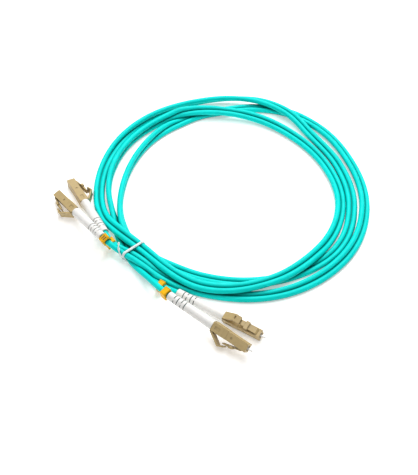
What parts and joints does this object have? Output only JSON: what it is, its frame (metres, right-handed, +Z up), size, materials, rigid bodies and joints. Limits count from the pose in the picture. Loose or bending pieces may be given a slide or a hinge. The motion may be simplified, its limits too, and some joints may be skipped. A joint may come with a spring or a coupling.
{
  "type": "duplex fibre optic patch cord",
  "caption": "Coiled and tied duplex fibre optic patch cord with a pair of latched square plugs, slotted boots and marker clips at each end.",
  "frame": {"origin": "middle of the whole cord's footprint at the level it lies on", "axes": "+Z up, off the surface; +X to the right and +Y away from the viewer of the picture"},
  "size_m": [0.178, 0.203, 0.0142],
  "materials": {
    "jacket": "satin low-smoke jacket, aqua",
    "buffer": "tight buffer over the glass fibre",
    "housing": "satin moulded beige",
    "ceramic": "polished zirconia",
    "plated_metal": "nickel plated",
    "spring_steel": "bright wire",
    "brass": "turned",
    "boot": "matt soft moulding, white",
    "marker": "satin orange",
    "tie": "white coated tie"
  },
  "bodies": {
    "cord": {"cord_coil": "jacket", "twist_tie": "tie", "a1_front_housing": "housing", "a1_rear_body": "housing", "a1_spring": "spring_steel", "a1_crimp_body": "brass", "a1_crimp_sleeve": "plated_metal", "a1_buffered_fibre": "buffer", "a1_boot": "boot", "a1_marker_clip": "marker", "a1_lead_cable": "jacket", "b1_front_housing": "housing", "b1_rear_body": "housing", "b1_spring": "spring_steel", "b1_crimp_body": "brass", "b1_crimp_sleeve": "plated_metal", "b1_buffered_fibre": "buffer", "b1_boot": "boot", "b1_marker_clip": "marker", "b1_lead_cable": "jacket", "a2_front_housing": "housing", "a2_rear_body": "housing", "a2_spring": "spring_steel", "a2_crimp_body": "brass", "a2_crimp_sleeve": "plated_metal", "a2_buffered_fibre": "buffer", "a2_boot": "boot", "a2_marker_clip": "marker", "a2_lead_cable": "jacket", "b2_front_housing": "housing", "b2_rear_body": "housing", "b2_spring": "spring_steel", "b2_crimp_body": "brass", "b2_crimp_sleeve": "plated_metal", "b2_buffered_fibre": "buffer", "b2_boot": "boot", "b2_marker_clip": "marker", "b2_lead_cable": "jacket"},
    "a1_latch": {"a1_latch_arm": "housing"},
    "a1_trigger": {"a1_trigger_arm": "housing"},
    "a1_ferrule_set": {"a1_ferrule": "ceramic", "a1_ferrule_flange": "plated_metal"},
    "b1_latch": {"b1_latch_arm": "housing"},
    "b1_trigger": {"b1_trigger_arm": "housing"},
    "b1_ferrule_set": {"b1_ferrule": "ceramic", "b1_ferrule_flange": "plated_metal"},
    "a2_latch": {"a2_latch_arm": "housing"},
    "a2_trigger": {"a2_trigger_arm": "housing"},
    "a2_ferrule_set": {"a2_ferrule": "ceramic", "a2_ferrule_flange": "plated_metal"},
    "b2_latch": {"b2_latch_arm": "housing"},
    "b2_trigger": {"b2_trigger_arm": "housing"},
    "b2_ferrule_set": {"b2_ferrule": "ceramic", "b2_ferrule_flange": "plated_metal"}
  },
  "joints": [
    {"name": "a1_trigger_press", "type": "hinge", "parent": "cord", "child": "a1_trigger", "pos_m": [0.0007, -0.08775, 0.00558], "axis": [-0.3994, -0.5701, 0.718], "range_deg": [0, 7], "stiffness_Nm_per_rad": 0.008},
    {"name": "a1_latch_flex", "type": "hinge", "parent": "cord", "child": "a1_latch", "pos_m": [0.01457, -0.09871, 0.00459], "axis": [0.3994, 0.5701, -0.718], "range_deg": [0, 5.6], "stiffness_Nm_per_rad": 0.006},
    {"name": "a1_ferrule_float", "type": "slide", "parent": "cord", "child": "a1_ferrule_set", "axis": [-0.7793, 0.6236, 0.0617], "range_m": [0, 0.0008], "stiffness_N_per_m": 1500, "deforming": ["a1_spring"]},
    {"name": "b1_trigger_press", "type": "hinge", "parent": "cord", "child": "b1_trigger", "pos_m": [0.00708, -0.07808, 0.00538], "axis": [0.5278, 0.7911, 0.309], "range_deg": [0, 7], "stiffness_Nm_per_rad": 0.008},
    {"name": "b1_latch_flex", "type": "hinge", "parent": "cord", "child": "b1_latch", "pos_m": [0.02183, -0.08787, 0.00524], "axis": [-0.5278, -0.7911, -0.309], "range_deg": [0, 5.6], "stiffness_Nm_per_rad": 0.006},
    {"name": "b1_ferrule_float", "type": "slide", "parent": "cord", "child": "b1_ferrule_set", "axis": [-0.8319, 0.555, 0], "range_m": [0, 0.0008], "stiffness_N_per_m": 1500, "deforming": ["b1_spring"]},
    {"name": "a2_trigger_press", "type": "hinge", "parent": "cord", "child": "a2_trigger", "pos_m": [-0.06903, 0.00656, 0.00406], "axis": [-0.0233, 0.0835, 0.9962], "range_deg": [0, 7], "stiffness_Nm_per_rad": 0.008},
    {"name": "a2_latch_flex", "type": "hinge", "parent": "cord", "child": "a2_latch", "pos_m": [-0.07724, 0.02217, 0.00256], "axis": [0.0233, -0.0835, -0.9962], "range_deg": [0, 5.6], "stiffness_Nm_per_rad": 0.006},
    {"name": "a2_ferrule_float", "type": "slide", "parent": "cord", "child": "a2_ferrule_set", "axis": [0.4559, -0.886, 0.0849], "range_m": [0, 0.0008], "stiffness_N_per_m": 1500, "deforming": ["a2_spring"]},
    {"name": "b2_trigger_press", "type": "hinge", "parent": "cord", "child": "b2_trigger", "pos_m": [-0.07681, -0.00539, 0.00525], "axis": [0.3591, 0.0847, -0.9295], "range_deg": [0, 7], "stiffness_Nm_per_rad": 0.008},
    {"name": "b2_latch_flex", "type": "hinge", "parent": "cord", "child": "b2_latch", "pos_m": [-0.08681, 0.00899, 0.00269], "axis": [-0.3591, -0.0847, 0.9295], "range_deg": [0, 5.6], "stiffness_Nm_per_rad": 0.006},
    {"name": "b2_ferrule_float", "type": "slide", "parent": "cord", "child": "b2_ferrule_set", "axis": [0.5713, -0.8075, 0.1471], "range_m": [0, 0.0008], "stiffness_N_per_m": 1500, "deforming": ["b2_spring"]}
  ],
  "couplings": [
    {"joint": "a1_latch_flex", "follows": "a1_trigger_press", "ratio": 0.8},
    {"joint": "b1_latch_flex", "follows": "b1_trigger_press", "ratio": 0.8},
    {"joint": "a2_latch_flex", "follows": "a2_trigger_press", "ratio": 0.8},
    {"joint": "b2_latch_flex", "follows": "b2_trigger_press", "ratio": 0.8}
  ]
}
